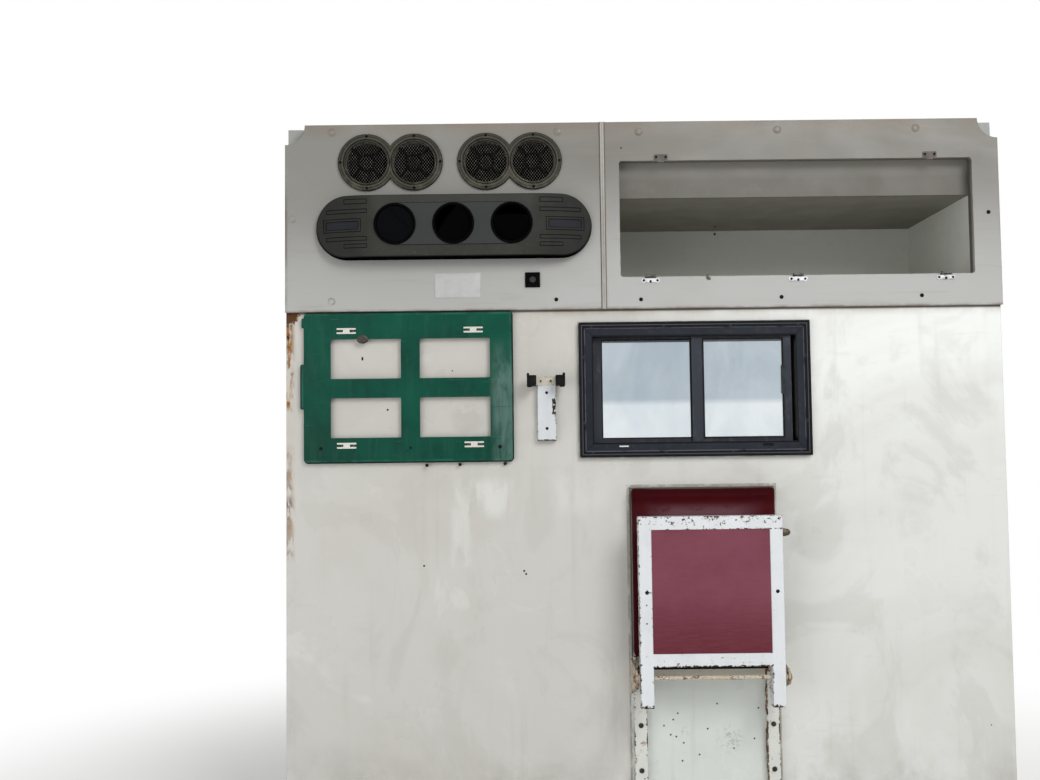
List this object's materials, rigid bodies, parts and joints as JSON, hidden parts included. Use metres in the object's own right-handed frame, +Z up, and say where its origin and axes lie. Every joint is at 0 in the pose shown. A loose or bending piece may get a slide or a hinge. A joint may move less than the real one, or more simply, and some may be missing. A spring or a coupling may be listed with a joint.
{
  "type": "ambulance saloon bulkhead",
  "caption": "Cream partition wall of an ambulance's patient saloon, with round air vents, overhead locker, sliding window, green equipment rack and a tip-up attendant seat.",
  "frame": {"origin": "middle of the sole's underside on the floor, in the mid-plane of the 30 mm wall panel", "axes": "+X to the right as seen from the saloon, +Y towards the cab, +Z up"},
  "size_m": [1.87, 0.627, 1.85],
  "materials": {
    "cream_grp": "satin moulded facing",
    "cover_white": "satin laminate",
    "frame_paint": "satin",
    "zinc": "zinc plated",
    "strip_white": "satin",
    "grille_grey": "satin",
    "mesh_grey": "perforated sheet",
    "fascia_grey": "grained",
    "outlet_black": "satin",
    "case_black": "moulded",
    "pipe_alu": "drawn",
    "switch_grey": "satin",
    "button_dark": "satin",
    "locker_board": "laminate",
    "bright_steel": "satin",
    "window_black": "anodised dark",
    "sash_grey": "anodised",
    "glass": "clear",
    "rack_green": "gloss moulded",
    "white_paint": "chipped gloss",
    "rubber_black": "soft",
    "plate_paint": "speckled",
    "worn_steel": "rusted",
    "vinyl_dark": "grained vinyl",
    "vinyl_faded": "faded vinyl"
  },
  "bodies": {
    "bulkhead": {"bulkhead_panel": "cream_grp", "frame_posts": "frame_paint", "frame_rails": "frame_paint", "floor_channel": "zinc", "side_flanges": "zinc", "ac_cover_panel": "cover_white", "locker_cover_panel": "cover_white", "joint_strip": "strip_white", "grille_left": "grille_grey", "grille_right": "grille_grey", "grille_mesh": "mesh_grey", "vent_fascia": "fascia_grey", "air_outlets": "outlet_black", "outlet_flaps": "outlet_black", "evaporator_case": "case_black", "evaporator_pipes": "pipe_alu", "ac_switch": "switch_grey", "switch_button": "button_dark", "locker_floor": "locker_board", "locker_ceiling": "locker_board", "locker_ends": "locker_board", "locker_back": "locker_board", "locker_header": "locker_board", "locker_hinges": "bright_steel", "locker_catches": "bright_steel", "window_frame": "window_black", "window_clamp_ring": "window_black", "window_sash_left": "sash_grey", "window_sash_right": "sash_grey", "window_glass": "glass", "equipment_rack": "rack_green", "rack_clips": "white_paint", "tool_bracket": "white_paint", "bracket_clip": "bright_steel", "clip_jaws": "rubber_black", "seat_cross_rail": "white_paint", "seat_backplate": "plate_paint", "seat_rails": "white_paint", "seat_lugs": "worn_steel", "pivot_rod": "worn_steel", "back_cushion": "vinyl_dark"},
    "seat": {"seat_frame": "white_paint", "seat_board": "vinyl_faded", "seat_cushion": "vinyl_dark", "strap_stud": "bright_steel"}
  },
  "joints": [
    {"name": "seat_fold", "type": "hinge", "parent": "bulkhead", "child": "seat", "pos_m": [0.14, -0.129, 0.427], "axis": [1, 0, 0], "range_deg": [0, 90]}
  ]
}
